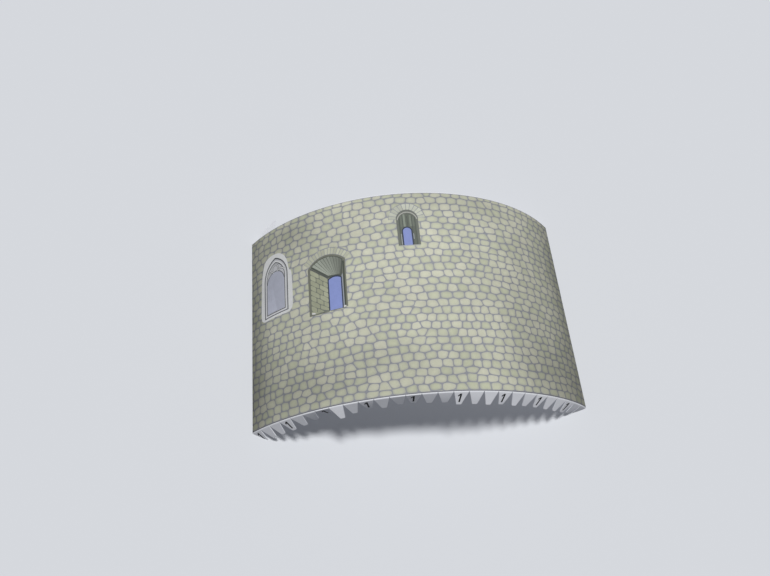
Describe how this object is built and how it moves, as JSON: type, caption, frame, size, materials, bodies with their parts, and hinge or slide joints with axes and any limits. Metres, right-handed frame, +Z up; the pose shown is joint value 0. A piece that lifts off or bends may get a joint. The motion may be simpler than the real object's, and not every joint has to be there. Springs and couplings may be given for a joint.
{
  "type": "card model rotunda wall",
  "caption": "Curved round-tower wall for a card model, printed as stonework with blind windows, with glue tabs folded in along both edges.",
  "frame": {"origin": "centre of the bounding box at its base, on the floor that the lower tabs stand on", "axes": "+Z up the wall's height, +X along its chord from the left edge to the right edge as seen from the printed side, -Y the way the middle of the printed side faces"},
  "size_m": [0.0922, 0.025, 0.0646],
  "materials": {
    "printed_card": "matt uncoated card printed with rubble stonework",
    "white_card": "matt unprinted card"
  },
  "bodies": {
    "root": {"wall_segment_1": "printed_card", "wall_segment_2": "printed_card", "wall_segment_3": "printed_card", "wall_segment_4": "printed_card", "wall_segment_5": "printed_card", "wall_segment_6": "printed_card", "wall_segment_7": "printed_card", "wall_segment_8": "printed_card", "wall_segment_9": "printed_card", "lower_tab_01": "white_card", "lower_tab_02": "white_card", "lower_tab_03": "white_card", "lower_tab_04": "white_card", "lower_tab_05": "white_card", "lower_tab_06": "white_card", "lower_tab_07": "white_card", "lower_tab_08": "white_card", "lower_tab_09": "white_card", "lower_tab_10": "white_card", "lower_tab_11": "white_card", "lower_tab_12": "white_card", "lower_tab_13": "white_card", "lower_tab_14": "white_card", "lower_tab_15": "white_card", "lower_tab_16": "white_card", "lower_tab_17": "white_card", "lower_tab_18": "white_card", "lower_tab_19": "white_card", "lower_tab_20": "white_card", "lower_tab_21": "white_card", "lower_tab_22": "white_card", "lower_tab_23": "white_card", "lower_tab_24": "white_card", "lower_tab_25": "white_card", "lower_tab_26": "white_card", "lower_tab_27": "white_card", "upper_tabs_1": "white_card", "upper_tabs_2": "white_card", "upper_tabs_3": "white_card", "upper_tabs_4": "white_card", "upper_tabs_5": "white_card", "upper_tabs_6": "white_card", "upper_tabs_7": "white_card", "upper_tabs_8": "white_card", "upper_tabs_9": "white_card"}
  },
  "joints": []
}
